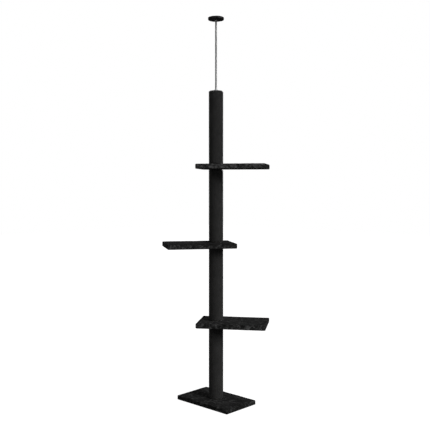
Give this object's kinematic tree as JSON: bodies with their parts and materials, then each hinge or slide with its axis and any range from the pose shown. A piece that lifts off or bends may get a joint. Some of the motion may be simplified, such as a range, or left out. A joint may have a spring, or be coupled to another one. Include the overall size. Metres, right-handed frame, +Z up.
{
  "type": "floor-to-ceiling cat tree",
  "caption": "Floor-to-ceiling cat tree: plush base, rope-wrapped column, offset plush shelves that turn about it, and a screw jack with a ceiling disc.",
  "frame": {"origin": "centre of the base's underside, on the column's axis, at floor level", "axes": "+Z up along the column, +X along the long side of the base, +Y across it"},
  "size_m": [0.6209, 0.6151, 2.372],
  "materials": {
    "board": "matte",
    "plush": "matte",
    "liner": "matte",
    "rope": "matte",
    "tube": "matte",
    "plug": "matte",
    "black_plug": "matte",
    "zinc": "satin",
    "bush": "satin"
  },
  "bodies": {
    "column": {"base_board": "board", "base_cover": "plush", "base_staples": "zinc", "base_liner": "liner", "post_1_tube": "tube", "post_1_rope": "rope", "post_1_bottom_plug": "plug", "post_1_top_plug": "plug", "post_1_tee_nuts": "zinc", "post_1_staples": "zinc", "post_2_tube": "tube", "post_2_rope": "rope", "post_2_bottom_plug": "plug", "post_2_top_plug": "plug", "post_2_tee_nuts": "zinc", "post_2_staples": "zinc", "post_3_tube": "tube", "post_3_rope": "rope", "post_3_bottom_plug": "plug", "post_3_top_plug": "plug", "post_3_tee_nuts": "zinc", "post_3_staples": "zinc", "post_4_tube": "tube", "post_4_rope": "rope", "post_4_bottom_plug": "plug", "post_4_tee_nuts": "zinc", "post_4_staples": "zinc", "base_bolt": "zinc", "base_washer": "zinc", "joining_studs": "zinc", "guide_plug": "black_plug", "guide_bush": "bush", "top_washer": "zinc"},
    "lower_platform": {"lower_platform_board": "board", "lower_platform_cover": "plush", "lower_platform_staples": "zinc", "lower_platform_underside": "plush"},
    "middle_platform": {"middle_platform_board": "board", "middle_platform_cover": "plush", "middle_platform_staples": "zinc", "middle_platform_underside": "plush"},
    "upper_platform": {"upper_platform_board": "board", "upper_platform_cover": "plush", "upper_platform_staples": "zinc", "upper_platform_underside": "plush"},
    "adjusting_nut": {"adjusting_nut": "zinc"},
    "ceiling_jack": {"tension_rod": "zinc", "disc_board": "board", "disc_tee_nut": "zinc", "disc_cover": "plush"}
  },
  "joints": [
    {"name": "lower_platform_swivel", "type": "hinge", "parent": "column", "child": "lower_platform", "pos_m": [0, 0, 0.493], "axis": [0, 0, 1], "continuous": true},
    {"name": "middle_platform_swivel", "type": "hinge", "parent": "column", "child": "middle_platform", "pos_m": [0, 0, 0.974], "axis": [0, 0, 1], "continuous": true},
    {"name": "upper_platform_swivel", "type": "hinge", "parent": "column", "child": "upper_platform", "pos_m": [0, 0, 1.455], "axis": [0, 0, 1], "continuous": true},
    {"name": "jack_slide", "type": "slide", "parent": "column", "child": "ceiling_jack", "axis": [0, 0, 1], "range_m": [-0.26, 0.1]},
    {"name": "nut_turn", "type": "hinge", "parent": "column", "child": "adjusting_nut", "pos_m": [0, 0, 1.9255], "axis": [0, 0, 1], "continuous": true}
  ],
  "couplings": [
    {"joint": "nut_turn", "follows": "jack_slide", "rad_per_m": -3590.4}
  ]
}
